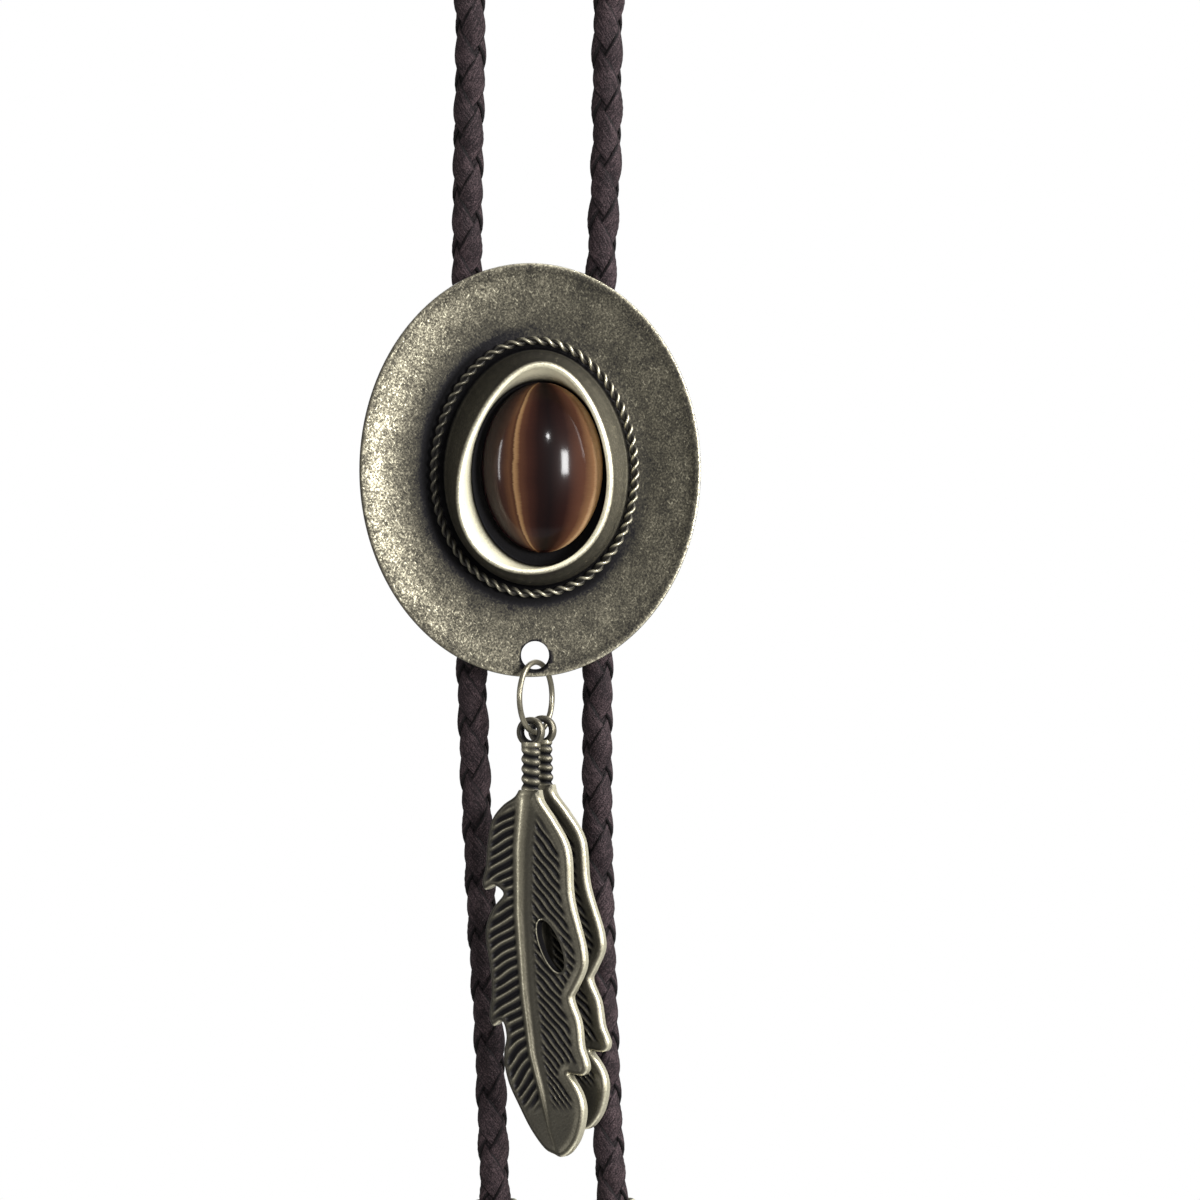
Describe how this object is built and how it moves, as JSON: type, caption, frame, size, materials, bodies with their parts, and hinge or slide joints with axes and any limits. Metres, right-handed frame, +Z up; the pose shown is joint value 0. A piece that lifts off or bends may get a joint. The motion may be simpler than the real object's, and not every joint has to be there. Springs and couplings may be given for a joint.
{
  "type": "bolo tie",
  "caption": "Bolo tie with a hat-shaped antique brass slide, an oval tiger-eye stone, hanging cast feathers and a braided leather cord in a neck loop with tipped tails.",
  "frame": {"origin": "underside of the cord at the top of the neck loop, where it rests on the back of a neck or on a peg", "axes": "+Z up along the hanging tie, the slide's front faces -Y, +X to the viewer's right"},
  "size_m": [0.1758, 0.0168, 0.2812],
  "materials": {
    "antique_brass": "antiqued, patina in the recesses",
    "bright_wire": "worn satin",
    "braided_leather": "matt, fine grain",
    "tiger_eye": "polished cabochon with a golden band"
  },
  "bodies": {
    "slide": {"hat_body": "antique_brass", "hat_band": "antique_brass", "stone": "tiger_eye", "cord_clasp": "antique_brass", "neck_cord": "braided_leather", "tail_left": "braided_leather", "tail_right": "braided_leather", "tip_left": "bright_wire", "tip_right": "bright_wire"},
    "ring": {"jump_ring": "bright_wire"},
    "feather_front": {"feather_front": "antique_brass"},
    "feather_back": {"feather_back": "antique_brass"}
  },
  "joints": [
    {"name": "ring_swing", "type": "hinge", "parent": "slide", "child": "ring", "pos_m": [0.0007, -0.00545, -0.19075], "axis": [-0.891, 0.454, 0], "range_deg": [0, 60]},
    {"name": "feather_front_swing", "type": "hinge", "parent": "ring", "child": "feather_front", "pos_m": [0.00011, -0.00661, -0.19759], "axis": [-0.454, -0.891, 0], "range_deg": [-25, 25]},
    {"name": "feather_back_swing", "type": "hinge", "parent": "ring", "child": "feather_back", "pos_m": [0.00147, -0.00394, -0.19743], "axis": [-0.454, -0.891, 0], "range_deg": [-5, 25]}
  ]
}
